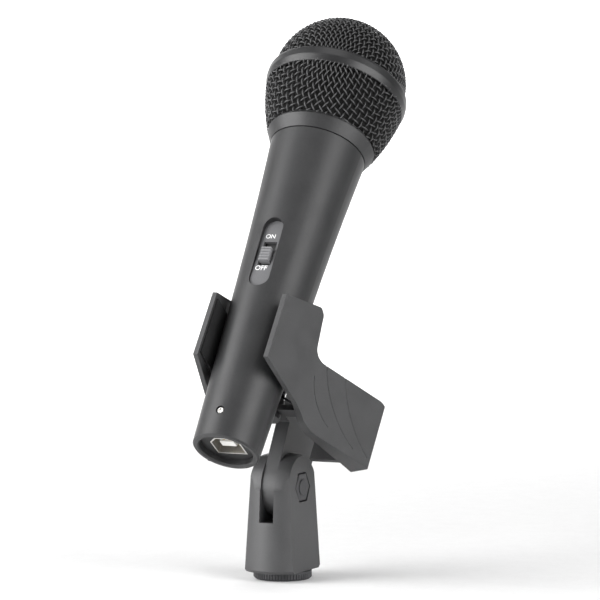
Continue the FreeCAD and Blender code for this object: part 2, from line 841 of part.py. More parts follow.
def contact(side, place):
    """One contact strip, from the tongue's tip out of the socket's back."""
    strip = document.addObject("Part::Box", "strip")
    strip.setExpression("Length", tied("contact_width"))
    strip.setExpression("Width", tied("contact_thickness"))
    strip.setExpression("Height", tied("socket_back + contact_tail - tongue_face - contact_setback"))
    low = "tongue_tall / 2" if side > 0 else "-tongue_tall / 2 - contact_thickness"
    middle = "%d * contact_pitch / 2" % place
    strip.setExpression("Placement.Base.x", tied(middle + " - contact_width / 2"))
    strip.setExpression("Placement.Base.y", tied(low))
    strip.setExpression("Placement.Base.z", tied("tongue_face + contact_setback"))
    return strip


# ---- Clip: jaws, pads, hinge and spring -------------------------------------------------------

def inner_x(y):
    """X of the jaw plate's inner face at a distance y."""
    return "((jaw_inner + (%s) * sin(jaw_toe_in)) / cos(jaw_toe_in))" % y


def outer_x(y):
    """X of the jaw plate's outer face at a distance y."""
    return "((jaw_outer + (%s) * sin(jaw_toe_in)) / cos(jaw_toe_in))" % y


def mirrored(corners, side):
    """Corners on the side that is asked for, in the same turning sense."""
    if side > 0:
        return corners
    return [("-(%s)" % x, y) for x, y in reversed(corners)]


def mirrored_edge(index, corners, side):
    """The number an outline's edge has on the side that is asked for."""
    return index if side > 0 else len(corners) - 2 - index


def make_jaw(name, side, knuckles):
    """A lever: thin jaw plate in front, bend, and a thick flared wing behind."""
    piece = body(name)
    wing_x = "(%s + (wing_rear - jaw_bend) * tan(wing_flare))" % outer_x("jaw_bend")
    section = mirrored([
        (outer_x("-jaw_front"), "-jaw_front"),
        (outer_x("jaw_bend - bend_run"), "jaw_bend - bend_run"),
        (outer_x("jaw_bend") + " + bend_run * tan(wing_flare)", "jaw_bend + bend_run"),
        (wing_x, "wing_rear"),
        ("wing_end_x", "wing_end_y"),
        ("wing_inner_x + 0.6", "web_rear"),
        ("web_inner", "web_rear"),
        ("web_inner", "web_rear - web_thickness"),
        ("wing_inner_x", "web_rear - web_thickness"),
        (inner_x("jaw_bend + 1.5"), "jaw_bend + 1.5"),
        (inner_x("-jaw_front"), "-jaw_front"),
    ], side)
    bend_radius = "-bend_run / tan((wing_flare - jaw_toe_in) / 2)"
    levels = sketch(piece, "XY_Plane", "wing_low - cut_margin")
    outline(levels, section, {mirrored_edge(1, section, side): bend_radius})
    pad(piece, levels, "jaw_high_rear + 2 * cut_margin - wing_low")
    profile = sketch(piece, "YZ_Plane", "-far")
    rectangle(profile, "-far", "-far", "far", "2 * far")
    outline(profile, [
        ("-jaw_front - cut_margin", "jaw_low"),
        ("jaw_bend - 3", "jaw_low_rear"),
        ("jaw_bend + 4.1", "wing_low + 2"),
        ("jaw_bend + 11.5", "wing_low"),
        ("wing_end_y + cut_margin", "wing_low + wing_rise"),
        ("wing_end_y + cut_margin", "wing_high + wing_rise - 2.6 * wing_corner"),
        ("wing_rear + 0.6 * wing_corner", "wing_high + wing_rise - 1.4 * wing_corner"),
        ("wing_rear - wing_corner", "wing_high + wing_rise"),
        ("jaw_bend + 6.3", "wing_high"),
        ("jaw_bend + 0.9", "wing_high + 4.1"),
        ("jaw_bend - 0.4", "jaw_high_rear - 4"),
        ("jaw_bend - 3.4", "jaw_high_rear - 0.6"),
        ("-jaw_front - cut_margin", "jaw_high - 0.3"),
    ], {1: "-14", 2: "14", 6: "1.5 * wing_corner", 8: "-5.2", 10: "3.2"})
    pocket(piece, profile, "2 * far")
    root = "(wing_inner_x - web_thickness)"
    ends = [("0", "hinge_y - arm_width / 2"), (root, "hinge_y - arm_width / 2"),
            (root, "hinge_y + arm_width / 2"), ("0", "hinge_y + arm_width / 2")]
    for start in knuckles:
        arm = sketch(piece, "XY_Plane", start)
        outline(arm, mirrored(ends, side))
        pad(piece, arm, "knuckle_tall")
        ring = sketch(piece, "XY_Plane", start)
        circle(ring, "0", "hinge_y", "knuckle_radius")
        pad(piece, ring, "knuckle_tall")
        bore = sketch(piece, "XY_Plane", start)
        circle(bore, "0", "hinge_y", "pin_radius + running_gap")
        pocket(piece, bore, "knuckle_tall")
    document.recompute()
    outermost = value(wing_x + " - wing_soft")

    def soft_edge(edge):
        """The long outside edges and the wing's outer rim."""
        middle = edge.CenterOfMass
        return abs(middle.x) > outermost and edge.Length > 5

    fillet(piece, "wing_soft", soft_edge)
    lean(piece)
    return piece


# Thin curved grooves on the wing's outer face: start, middle and end as distance behind the bend
# along the face, and height.
GROOVES = (
    ((3.4, 40.2), (9.0, 30.0), (16.7, 25.4)),
    ((7.8, 47.2), (17.6, 32.3), (31.1, 24.4)),
    ((18.0, 47.9), (27.8, 32.9), (39.0, 25.0)),
)


def groove_tool(name, side):
    """Round wires along the three grooves, to be cut from the wing's outer face."""
    flare = math.radians(value("wing_flare"))
    start_x = value(outer_x("jaw_bend"))
    wires = []
    for places in GROOVES:
        points = [Vector(side * (start_x + along * math.sin(flare)),
                         value("jaw_bend") + along * math.cos(flare), level)
                  for along, level in places]
        path = Part.Arc(*points)
        direction = path.tangent(path.FirstParameter)[0]
        ring = Part.Circle(points[0], direction, value("groove_radius"))
        spine = Part.Wire([path.toShape()])
        tube = spine.makePipeShell([Part.Wire([ring.toShape()])], True, False)
        wires.append(tube)
    tool = document.addObject("Part::Feature", name)
    tool.Shape = Part.makeCompound(wires)
    return tool


def make_jaws():
    """Two levers on one pin; each has two knuckles, one above and one below the stem's."""
    for name, side, knuckles in (("right_jaw", 1, ("right_low", "right_high")),
                                 ("left_jaw", -1, ("left_low", "left_high"))):
        lever = make_jaw(name + "_lever", side, knuckles)
        PIECES.remove(lever)
        tool = groove_tool(name + "_grooves", side)
        for axis in ("Base.y", "Base.z", "Rotation.Angle"):
            lever.setExpression("Placement." + axis, None)
        lever.Placement = FreeCAD.Placement()
        grooved = document.addObject("Part::Cut", name)
        grooved.Base = lever
        grooved.Tool = tool
        grooved.Label = name
        PIECES.append(lean(grooved))


def make_pad(name, side):
    """Rubber pad inside a jaw, hollowed to the handle's cone, with a raised frame in front."""
    piece = body(name)
    front = "(-jaw_front + pad_margin)"
    rear = "(jaw_bend - pad_margin)"
    depth = "(jaw_inner - grip_radius + pad_wrap)"
    section = mirrored([
        (inner_x(front), front),
        (inner_x(rear), rear),
        ("%s - %s" % (inner_x(rear), depth), rear),
        ("%s - %s" % (inner_x(front), "pad_rib"), front),
    ], side)
    drawing = sketch(piece, "XY_Plane", "jaw_low + pad_margin")
    outline(drawing, section)
    pad(piece, drawing, "jaw_high - jaw_low - 2 * pad_margin")
    document.recompute()
    hollow = sketch(piece, "XZ_Plane")
    low = "(jaw_low - cut_margin)"
    high = "(jaw_high + cut_margin)"
    outline(hollow, [
        ("0", low),
        ("tail_radius + handle_slope * %s + pad_gap" % low, low),
        ("tail_radius + handle_slope * %s + pad_gap" % high, high),
        ("0", high),
    ])
    groove = piece.newObject("PartDesign::Groove", name + "_hollow")
    groove.Profile = hollow
    groove.ReferenceAxis = (hollow, ["V_Axis"])
    groove.Angle = 360
    lean(piece)


def make_hinge_pin():
    """Steel pin through all five knuckles."""
    return turned_at("hinge_pin", "hinge_y", [
        ("0", "left_low - pin_overhang"),
        ("pin_radius", "left_low - pin_overhang"),
        ("pin_radius", "left_high + knuckle_tall + pin_overhang"),
        ("0", "left_high + knuckle_tall + pin_overhang"),
    ])


def turned_at(name, y, corners):
    """A round piece whose axis stands beside the microphone's axis."""
    piece = body(name)
    drawing = sketch(piece, "XY_Plane", corners[0][1])
    circle(drawing, "0", y, corners[1][0])
    pad(piece, drawing, "(%s) - (%s)" % (corners[2][1], corners[0][1]))
    return lean(piece)


def make_torsion_spring():
    """Closed coil round the pin, with a straight leg out to each wing."""
    wire_radius = value("spring_wire")
    coil_radius = value("spring_radius")
    pitch = value("spring_pitch")
    turns = value("spring_turns")
    low = value("spring_low + spring_wire + knuckle_gap")
    path = Part.makeHelix(pitch, pitch * turns, coil_radius)
    section = Part.Circle(Vector(coil_radius, 0, 0), Vector(0, 1, 0), wire_radius)
    coil = Part.Wire(path.Edges).makePipeShell([Part.Wire([section.toShape()])], True, True)
    rest_x = value("web_inner + 1")
    rest_y = value("web_rear - web_thickness - spring_wire - slip_gap - hinge_y")
    leg = Vector(rest_x - coil_radius, rest_y, 0)
    first = Part.makeCylinder(wire_radius, leg.Length, Vector(coil_radius, 0, 0), leg)
    leg = Vector(coil_radius - rest_x, rest_y, 0)
    second = Part.makeCylinder(wire_radius, leg.Length, Vector(-coil_radius, 0, pitch * turns), leg)
    spring = document.addObject("Part::Feature", "torsion_spring")
    spring.Label = "torsion_spring"
    spring.Shape = coil.fuse([first, second])
    PIECES.append(lean(spring))
    on_the_pin = FreeCAD.Placement(Vector(0, value("hinge_y"), low), FreeCAD.Rotation())
    spring.Placement = spring.Placement.multiply(on_the_pin)


def make_stem():
    """Flat tongue that turns in the base's slot, with an arm forward to the hinge pin."""
    piece = body("stem")
    half = "stem_thickness / 2"
    plate = sketch(piece, "YZ_Plane", "-" + half)
    outline(plate, [
        ("axis_offset - tongue_radius", "pivot_above_tail"),
        ("axis_offset + tongue_radius", "pivot_above_tail"),
        ("stem_back", "stem_top"),
        ("stem_front + stem_step_width", "stem_top"),
        ("stem_front + stem_step_width", "stem_step"),
        ("stem_front", "stem_step"),
    ], {0: "tongue_radius"})
    pad(piece, plate, "stem_thickness")
    arm = sketch(piece, "XY_Plane", "stem_low")
    rectangle(arm, "-stem_thickness / 2", "hinge_y", "stem_thickness / 2", "stem_front + 3")
    pad(piece, arm, "stem_knuckle_tall")
    knuckle = sketch(piece, "XY_Plane", "stem_low")
    circle(knuckle, "0", "hinge_y", "knuckle_radius")
    pad(piece, knuckle, "stem_knuckle_tall")
    bore = sketch(piece, "XY_Plane", "stem_low")
    circle(bore, "0", "hinge_y", "pin_radius")
    pocket(piece, bore, "stem_knuckle_tall")
    pivot = sketch(piece, "YZ_Plane", "-stem_thickness")
    circle(pivot, "axis_offset", "pivot_above_tail", "bolt_radius + running_gap")
    pocket(piece, pivot, "2 * stem_thickness")
    lean(piece)


# ---- Swivel base and stand thread -------------------------------------------------------------

def base_section(drawing, radius, flat):
    """A circle with two flats across X."""
    y = "sqrt((%s)^2 - (%s)^2)" % (radius, flat)
    outline(drawing, [(flat, "-" + y), (flat, y), ("-" + flat, y), ("-" + flat, "-" + y)],
            {1: radius, 3: radius})


def make_swivel_base():
    """Tapered base with two round-topped ears and a slot for the tongue."""
    piece = body("swivel_base")
    levels = []
    for height, radius, flat in (("base_bottom", "base_low_radius", "base_low_flat"),
                                 ("base_top", "base_high_radius", "base_high_flat")):
        section = sketch(piece, "XY_Plane", height)
        base_section(section, radius, flat)
        levels.append(section)
    loft = piece.newObject("PartDesign::AdditiveLoft", "swivel_base_taper")
    loft.Profile = levels[0]
    loft.Sections = levels[1:]
    loft.Ruled = True
    foot = sketch(piece, "XZ_Plane")
    outline(foot, [
        ("base_low_radius - 2 * base_edge", "base_bottom - base_edge"),
        ("base_low_radius + base_edge", "base_bottom - base_edge"),
        ("base_low_radius + base_edge", "base_bottom + 2 * base_edge"),
    ])
    foot_cut = piece.newObject("PartDesign::Groove", "swivel_base_foot")
    foot_cut.Profile = foot
    foot_cut.ReferenceAxis = (foot, ["V_Axis"])
    foot_cut.Angle = 360
    crown = sketch(piece, "XZ_Plane")
    crown.setExpression("AttachmentOffset.Base.y", tied("pivot_height"))
    outline(crown, [
        ("-base_low_flat - cut_margin", "ear_radius - ear_round"),
        ("-slot_half", "ear_radius"),
        ("slot_half", "ear_radius"),
        ("base_low_flat + cut_margin", "ear_radius - ear_round"),
        ("base_low_flat + cut_margin", "far"),
        ("-base_low_flat - cut_margin", "far"),
    ], {0: "-ear_curve", 2: "-ear_curve"})
    arch = piece.newObject("PartDesign::Groove", "swivel_base_arch")
    arch.Profile = crown
    arch.ReferenceAxis = (crown, ["H_Axis"])
    arch.Angle = 180
    arch.Midplane = True
    slot = sketch(piece, "XY_Plane", "slot_floor")
    rectangle(slot, "-slot_half", "-far", "slot_half", "far")
    pocket(piece, slot, "far")
    bore = sketch(piece, "XY_Plane", "0")
    circle(bore, "0", "0", "insert_radius")
    pocket(piece, bore, "insert_top")
    bolt = sketch(piece, "YZ_Plane", "-far")
    circle(bolt, "0", "pivot_height", "bolt_radius")
    pocket(piece, bolt, "2 * far")
    nut = sketch(piece, "YZ_Plane", "nut_face")
    hexagon(nut, "nut_pocket_flats", "pivot_height")
    pocket(piece, nut, "far")
    head = sketch(piece, "YZ_Plane", "-far")
    circle(head, "0", "pivot_height", "bolt_head_radius + head_gap")
    pocket(piece, head, "far - nut_face")


def hexagon(drawing, flats, height):
    """A hexagon across its flats, with a flat on top, centred on the bolt."""
    corner = "((%s) / 2 / cos(30))" % flats
    places = []
    for angle in range(0, 360, 60):
        level = "%s + %s * sin(%d)" % (height, corner, angle)
        places.append(("%s * cos(%d)" % (corner, angle), level))
    outline(drawing, places)


def make_bolt():
    """Swivel bolt with a slotted round head on one side and a chamfered nut on the other."""
    bolt = body("pivot_bolt")
    shank = sketch(bolt, "YZ_Plane", "-nut_face")
    circle(shank, "0", "pivot_height", "bolt_radius")
    pad(bolt, shank, "2 * nut_face + nut_thickness + bolt_overhang")
    head = sketch(bolt, "YZ_Plane", "-nut_face - bolt_head_thickness")
    circle(head, "0", "pivot_height", "bolt_head_radius")
    pad(bolt, head, "bolt_head_thickness")
    slot = sketch(bolt, "YZ_Plane", "-nut_face - bolt_head_thickness")
    rectangle(slot, "-far", "pivot_height - driver_slot_width / 2", "far",
              "pivot_height + driver_slot_width / 2")
    pocket(bolt, slot, "driver_slot_depth")

    nut = body("pivot_nut")
    block = sketch(nut, "YZ_Plane", "nut_face")
    hexagon(block, "nut_flats", "pivot_height")
    circle(block, "0", "pivot_height", "bolt_radius")
    pad(nut, block, "nut_thickness")


def make_stand_thread():
    """Brass insert in the base and the knurled reducing adapter inside it."""
    turned("thread_insert", [
        ("adapter_radius + running_gap", "base_bottom"),
        ("insert_radius", "base_bottom"),
        ("insert_radius", "insert_top"),
        ("adapter_radius + running_gap", "insert_top"),
    ], leaning=False)

    adapter = body("thread_adapter")
    revolve(adapter, [
        ("stand_bore_radius", "0"),
        ("flange_radius - flange_edge", "0"),
        ("flange_radius", "flange_edge"),
        ("flange_radius", "flange_thickness"),
        ("adapter_radius", "flange_thickness"),
        ("adapter_radius", "adapter_top - adapter_edge"),
        ("adapter_radius - adapter_edge", "adapter_top"),
        ("stand_bore_radius", "adapter_top"),
    ])
    notch = sketch(adapter, "XY_Plane", "0")
    mouth_x = "(flange_radius + face_gap) * cos(knurl_share * 180 / knurl_count)"
    mouth_y = "(flange_radius + face_gap) * sin(knurl_share * 180 / knurl_count)"
    outline(notch, [("flange_radius - knurl_depth", "0"), (mouth_x, "-" + mouth_y), (mouth_x, mouth_y)])
    groove = pocket(adapter, notch, "flange_thickness - flange_lip")
    document.recompute()
    around(adapter, groove, "knurl_count")


# ---- Build, check and write -------------------------------------------------------------------

make_handle()
make_collar()
make_grille_bowl()
make_grille_ring()
make_grille_dome()
make_foam_liner()
make_capsule()
make_switch()
make_board()
make_socket()
make_jaws()
make_pad("right_pad", 1)
make_pad("left_pad", -1)
make_hinge_pin()
make_torsion_spring()
make_stem()
make_swivel_base()
make_bolt()
make_stand_thread()
document.recompute()

for item in document.Objects:
    if "Invalid" in item.State or "Error" in item.State:
        raise ValueError("%s failed: %s" % (item.Label, item.State))
    if item.TypeId in ("PartDesign::Pocket", "PartDesign::Groove"):
        removed = item.BaseFeature.Shape.Volume - item.Shape.Volume
        if removed < 0.01:
            raise ValueError("%s cuts nothing" % item.Label)

for piece in PIECES:
    shape = piece.Shape
    if shape.isNull() or not shape.isValid():
        raise ValueError("%s has no valid shape" % piece.Label)
    shape.exportStep("parts/%s.step" % piece.Label)
    box = shape.BoundBox
    print("%-16s %d solid(s) %9.1f mm3  x %6.1f..%6.1f  y %6.1f..%6.1f  z %6.1f..%6.1f" % (
        piece.Label, len(shape.Solids), shape.Volume, box.XMin, box.XMax, box.YMin, box.YMax,
        box.ZMin, box.ZMax))
print(len(PIECES), "sub-parts written")
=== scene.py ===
# %% [markdown]
# # A handheld microphone in its spring clip
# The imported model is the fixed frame. Heights and places are read from it, and a few of the
# part's own sizes are repeated here by name, so each new surface is laid where the solid
# pieces already are. Nothing of the frame is moved.

import json
import math

import bmesh
import bpy
import numpy as np
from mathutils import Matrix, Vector


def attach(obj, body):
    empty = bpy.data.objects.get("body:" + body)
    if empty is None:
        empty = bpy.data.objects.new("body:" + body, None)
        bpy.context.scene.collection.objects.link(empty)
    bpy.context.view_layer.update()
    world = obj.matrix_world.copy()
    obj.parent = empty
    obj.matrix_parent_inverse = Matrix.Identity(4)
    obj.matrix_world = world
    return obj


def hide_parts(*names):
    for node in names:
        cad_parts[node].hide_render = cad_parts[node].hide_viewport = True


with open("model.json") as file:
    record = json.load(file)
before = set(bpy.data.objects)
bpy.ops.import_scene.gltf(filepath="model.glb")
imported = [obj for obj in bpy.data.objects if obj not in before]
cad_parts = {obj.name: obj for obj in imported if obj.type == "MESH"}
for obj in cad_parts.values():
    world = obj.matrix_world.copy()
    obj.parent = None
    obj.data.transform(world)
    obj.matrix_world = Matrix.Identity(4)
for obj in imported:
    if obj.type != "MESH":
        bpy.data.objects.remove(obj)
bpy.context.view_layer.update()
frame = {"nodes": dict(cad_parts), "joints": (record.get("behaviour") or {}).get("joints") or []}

# %% [markdown]
# ## The microphone's own axes
# The microphone leans in its clip. Its sliding joint runs along its axis, which gives the
# lean, and the jaws' hinge stands at a known place beside it, which gives the tail. Pieces of
# the microphone are worked out upright, with h along the axis from the tail rim, v towards the
# stem and x across, all in millimetres.

# %% Microphone axes
MM = 0.001
joints = {joint["name"]: joint for joint in frame["joints"]}
ALONG = np.array(joints["microphone_slide"]["axis"], float)
ACROSS = np.array([1.0, 0.0, 0.0])
TOWARD_STEM = np.cross(ALONG, ACROSS)
# where the jaws' hinge stands in the microphone's axes
HINGE_V = 23.0
HINGE_H = 40.0
TAIL = np.array(joints["right_jaw_squeeze"]["pos_m"]) - MM * (HINGE_V * TOWARD_STEM + HINGE_H * ALONG)


def lean(x, v, h):
    """Frame points, in metres, of x, v, h in millimetres:
    tail + x * across + v * toward_stem + h * along."""
    x, v, h = np.broadcast_arrays(x, v, h)
    parts = x[..., None] * ACROSS + v[..., None] * TOWARD_STEM + h[..., None] * ALONG
    return TAIL + MM * parts


def vertices_of(mesh):
    """A mesh's vertices as rows of x, y, z."""
    flat = np.empty(3 * len(mesh.vertices))
    mesh.vertices.foreach_get("co", flat)
    return flat.reshape(-1, 3)


def height_of(node):
    """Lowest and highest h of a node, by projecting its vertices on the microphone's axis."""
    heights = (vertices_of(frame["nodes"][node].data) - TAIL) @ ALONG / MM
    return float(heights.min()), float(heights.max())


RING_LOW, RING_HIGH = height_of("grille_ring")
BOWL_LOW, BOWL_HIGH = height_of("grille_bowl")
DOME_HIGH = height_of("grille_dome")[1]
print("ring", RING_LOW, RING_HIGH, "bowl", BOWL_LOW, BOWL_HIGH, "dome top", DOME_HIGH)

# %% [markdown]
# ## From arrays to meshes
# A surface is a table of points. One function turns points and faces into an object at the
# origin, ties it to a body of the frame and gives it its finish.

# %% Mesh helper


def piece(name, points, faces, body, finish, smooth=True):
    """An object at the origin with the given points (metres) and faces, riding on a body."""
    mesh = bpy.data.meshes.new(name)
    mesh.from_pydata(np.asarray(points, float).reshape(-1, 3).tolist(), [], faces)
    mesh.polygons.foreach_set("use_smooth", np.full(len(mesh.polygons), smooth))
    mesh.materials.append(finish)
    mesh.update()
    item = bpy.data.objects.new(name, mesh)
    bpy.context.scene.collection.objects.link(item)
    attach(item, body)
    print(name, len(mesh.vertices), "points", len(mesh.polygons), "faces")
    return item


def tube_faces(rows, sides):
    """Quads of a tube of `rows` rings of `sides` points, and a cap on each end."""
    ring = np.arange(sides)
    near = np.arange(rows - 1)[:, None] * sides + ring
    near_next = np.arange(rows - 1)[:, None] * sides + (ring + 1) % sides
    quads = np.stack([near, near_next, near_next + sides, near + sides], -1).reshape(-1, 4).tolist()
    return quads + [ring[::-1].tolist(), (ring + (rows - 1) * sides).tolist()]


def turned_faces(rows, sides):
    """Quads of a closed turned surface: the last row joins the first, and so do the columns."""
    row = np.arange(rows)[:, None]
    side = np.arange(sides)
    here, there = row * sides, ((row + 1) % rows) * sides
    quads = [here + side, here + (side + 1) % sides, there + (side + 1) % sides, there + side]
    return np.stack(quads, -1).reshape(-1, 4).tolist()


# %% [markdown]
# ## Finishes
# Colours are picked as sRGB hex values, because that is how a swatch is read, and shaders add
# light linearly, so one function converts them. One other function adds a node.

# %% Colour and node helpers
# how wide a patch of slightly different tone is
MOTTLE_MM = 9.0


def hue(code):
    """Linear RGBA of an sRGB hex colour: ((c + 0.055) / 1.055) ** 2.4 above the dark toe."""
    part = np.array([int(code[i:i + 2], 16) for i in (1, 3, 5)]) / 255
    linear = np.where(part <= 0.04045, part / 12.92, ((part + 0.055) / 1.055) ** 2.4)
    return (*linear.tolist(), 1.0)


def add(tree, kind, fields=None, sockets=None, links=None):
    """Add one node, with its fields, its sockets' values and links from other outputs."""
    node = tree.nodes.new(kind)
    for name, setting in (fields or {}).items():
        setattr(node, name, setting)
    for name, setting in (sockets or {}).items():
        node.inputs[name].default_value = setting
    for name, output in (links or {}).items():
        tree.links.new(output, node.inputs[name])
    return node


def start(name):
    """A new material: its node tree, its Principled shader and its Object coordinates."""
    material = bpy.data.materials.new(name)
    material.use_nodes = True
    tree = material.node_tree
    shader = tree.nodes["Principled BSDF"]
    place = add(tree, "ShaderNodeTexCoord").outputs["Object"]
    print("finish", name)
    return material, tree, shader, place


def blend(tree, share, low, dark, high, light):
    """A colour ramp driven by share: dark up to low, light from high on."""
    ramp = add(tree, "ShaderNodeValToRGB", links={"Fac": share})
    first, last = ramp.color_ramp.elements
    first.position = low
    first.color = hue(dark)
    last.position = high
    last.color = hue(light)
    return ramp


def dress(tree, shader, ramp, gloss, lift):
    """Give a shader its colour, its roughness and its lifted normal."""
    tree.links.new(ramp.outputs["Color"], shader.inputs["Base Color"])
    tree.links.new(gloss.outputs["Result"], shader.inputs["Roughness"])
    tree.links.new(lift.outputs["Normal"], shader.inputs["Normal"])


def grained(name, dark, light, rough, grain_mm, depth_mm, metallic=0.0):
    """A finish with a fine grain: noise of the grain's size lifts the surface by its depth,
    and a second, slow noise turns the colour from dark to light and the roughness with it."""
    material, tree, shader, place = start(name)
    slow = add(tree, "ShaderNodeTexNoise", sockets={"Scale": 1 / (MOTTLE_MM * MM), "Detail": 3.0},
               links={"Vector": place})
    fine = add(tree, "ShaderNodeTexNoise", sockets={"Scale": 1 / (grain_mm * MM), "Detail": 2.0},
               links={"Vector": place})
    both = add(tree, "ShaderNodeMath", {"operation": "ADD"},
               links={0: slow.outputs["Fac"], 1: fine.outputs["Fac"]})
    half = add(tree, "ShaderNodeMath", {"operation": "MULTIPLY"}, {1: 0.5}, {0: both.outputs[0]})
    ramp = blend(tree, half.outputs[0], 0.35, dark, 0.65, light)
    gloss = add(tree, "ShaderNodeMapRange",
                sockets={"From Min": 0.3, "From Max": 0.7, "To Min": rough[0], "To Max": rough[1]},
                links={"Value": slow.outputs["Fac"]})
    lift = add(tree, "ShaderNodeBump", sockets={"Strength": 1.0, "Distance": depth_mm * MM},
               links={"Height": fine.outputs["Fac"]})
    dress(tree, shader, ramp, gloss, lift)
    shader.inputs["Metallic"].default_value = metallic
    return material


# %% [markdown]
# ### Painted metal
# The barrel and collar are die-cast zinc under sprayed satin paint. Sprayed paint dries with a
# faint orange peel about a millimetre across and a few microns deep: light spreads in it, so
# a softbox reads as a wide soft band and not as a sharp shape. The bolt, its nut and the
# thread adapter are steel with a dull black oxide skin.

# %% Painted finishes
satin_paint = grained("satin_paint_on_zinc", "#262627", "#2b2b2c", (0.42, 0.48), 0.9, 0.004)
ring_paint = grained("satin_paint_on_steel_band", "#202021", "#252526", (0.34, 0.4), 0.7, 0.004)
black_oxide = grained("black_oxide_steel", "#2c2c2e", "#38383b", (0.42, 0.55), 0.35, 0.006)

# %% [markdown]
# The wire's colour carries painted light: a painted highlight lightens the crowns, where a wire
# passes over its neighbour, and painted shade keeps the dips deep black. The weave stores how high
# each point rides as the attribute crown, 0 in a dip and 1 on top, and the colour follows it.

# %% Coated wire
COAT_GRAIN_MM = 0.4
COAT_DEPTH_MM = 0.005


def coated_wire(name, deep, crown_highlight, rough):
    """Coat colour, painted shade in the dips and a painted highlight on the crowns, and roughness
    that follow the crown attribute, with a fine grain.
    """
    material, tree, shader, place = start(name)
    crown = add(tree, "ShaderNodeAttribute", {"attribute_name": "crown"}).outputs["Fac"]
    grain = add(tree, "ShaderNodeTexNoise", sockets={"Scale": 1 / (COAT_GRAIN_MM * MM)},
                links={"Vector": place})
    # painted shade in the dips, painted highlight on the crowns, by the crown attribute
    ramp = blend(tree, crown, 0.3, deep, 0.8, crown_highlight)
    ramp.color_ramp.interpolation = "EASE"
    gloss = add(tree, "ShaderNodeMapRange", sockets={"To Min": rough[1], "To Max": rough[0]},
                links={"Value": crown})
    lift = add(tree, "ShaderNodeBump", sockets={"Distance": COAT_DEPTH_MM * MM},
               links={"Height": grain.outputs["Fac"]})
    dress(tree, shader, ramp, gloss, lift)
    return material


# the first colour is painted shade for the dips, the second a painted highlight for the crowns
wire_coat = coated_wire("black_coated_steel_wire", "#0b0b0b", "#464647", (0.3, 0.6))

# %% [markdown]
# ### Moulded plastics and rubber
# The clip is moulded in a dark nylon with a spark-eroded mould texture: grains near a quarter
# of a millimetre that scatter light, so it is matt with a low sheen at grazing angles.

# %% Moulded finishes
clip_nylon = grained("textured_nylon_clip", "#39393a", "#424243", (0.46, 0.54), 0.28, 0.01)
switch_abs = grained("fine_matt_abs_switch_plate", "#58585a", "#606062", (0.55, 0.65), 0.3, 0.006)
slider_abs = grained("matt_abs_slider", "#707072", "#7c7c7e", (0.5, 0.6), 0.3, 0.006)
black_abs = grained("black_abs", "#131314", "#1b1b1c", (0.45, 0.6), 0.4, 0.006)
pad_rubber = grained("matt_black_rubber", "#151516", "#1e1e1f", (0.7, 0.85), 0.25, 0.012)
foam = grained("open_cell_foam", "#040404", "#0e0e0e", (0.95, 1.0), 0.6, 0.25)
white_core = grained("white_nylon_core", "#d8d8d4", "#e6e6e2", (0.4, 0.5), 0.4, 0.004)
solder_mask = grained("green_solder_mask", "#0d3a22", "#145030", (0.25, 0.35), 1.6, 0.01)
formed_film = grained("formed_polyester_film", "#b8b4a2", "#cac6b4", (0.2, 0.3), 0.8, 0.004)
legend_ink = grained("white_printing_ink", "#e0e0e0", "#f0f0f0", (0.5, 0.6), 0.3, 0.003)

# %% [markdown]
# ### Bare metals
# Nickel plate on the socket and screw, blacked steel for the spring and the hinge pin, drawn
# steel inside the capsule, brass for the insert and contacts. A metal's colour is the colour of
# its reflection, so they are metallic with the default IOR, and colour and roughness tell them
# apart.

# %% Metal finishes
nickel = grained("nickel_plate", "#cfcdc9", "#dddbd7", (0.28, 0.4), 0.5, 0.004, metallic=1.0)
drawn_steel = grained("drawn_spring_steel", "#9a9b9f", "#b4b5b8", (0.28, 0.4), 0.4, 0.004, metallic=1.0)
dark_steel = grained("oil_blacked_spring_steel", "#2e2e31", "#3c3c40", (0.4, 0.5), 0.4, 0.004, metallic=1.0)
brass = grained("machined_brass", "#b8964e", "#cfae66", (0.25, 0.38), 0.5, 0.004, metallic=1.0)
copper = grained("enamelled_copper_winding", "#9c4a26", "#b8623a", (0.3, 0.4), 0.15, 0.02, metallic=1.0)
aluminium_can = grained("drawn_aluminium_can", "#b6b8bb", "#c8cacd", (0.25, 0.35), 0.5, 0.004, metallic=1.0)

# %% [markdown]
# ### Who wears what
# Each solid piece of the frame gets its finish. Some are replaced below by a finer piece with
# the same finish.

# %% Painting the solid pieces
WEARERS = (
    (satin_paint, ["handle", "collar"]),
    (ring_paint, ["grille_ring"]),
    (wire_coat, ["grille_bowl", "grille_dome"]),
    (foam, ["foam_liner"]),
    (clip_nylon, ["right_jaw", "left_jaw", "stem", "swivel_base"]),
    (pad_rubber, ["right_pad", "left_pad", "shock_mount"]),
    (black_abs, ["capsule_cup", "face_plate", "clamp_ring", "switch_body"]),
    (black_abs, ["converter_chip", "tail_insert"]),
    (switch_abs, ["switch_plate"]),
    (slider_abs, ["switch_slider"]),
    (black_oxide, ["pivot_bolt", "pivot_nut", "thread_adapter"]),
    (drawn_steel, ["yoke", "magnet", "pole_piece", "crystal_can"]),
    (dark_steel, ["hinge_pin", "torsion_spring"]),
    (copper, ["voice_coil", "capsule_leads"]),
    (formed_film, ["diaphragm"]),
    (solder_mask, ["circuit_board"]),
    (aluminium_can, ["capacitors"]),
    (nickel, ["socket_shell", "tail_screw"]),
    (white_core, ["socket_core"]),
    (brass, ["socket_contacts", "thread_insert"]),
)
for finish, nodes in WEARERS:
    for node in nodes:
        mesh = frame["nodes"][node].data
        mesh.materials.clear()
        mesh.materials.append(finish)
print(sum(len(nodes) for finish, nodes in WEARERS), "solid pieces painted")

# %% [markdown]
# ## Woven wire grille
# The ball is wire cloth, woven flat and pressed over a form. The wires can't stretch, so the
# cells keep their side and only shear: squares along two directions and slim diamonds between
# them. That is a Chebyshev net. On a sphere each new knot is the mirror image of the knot
# before it, in the plane through the centre and its two neighbours.

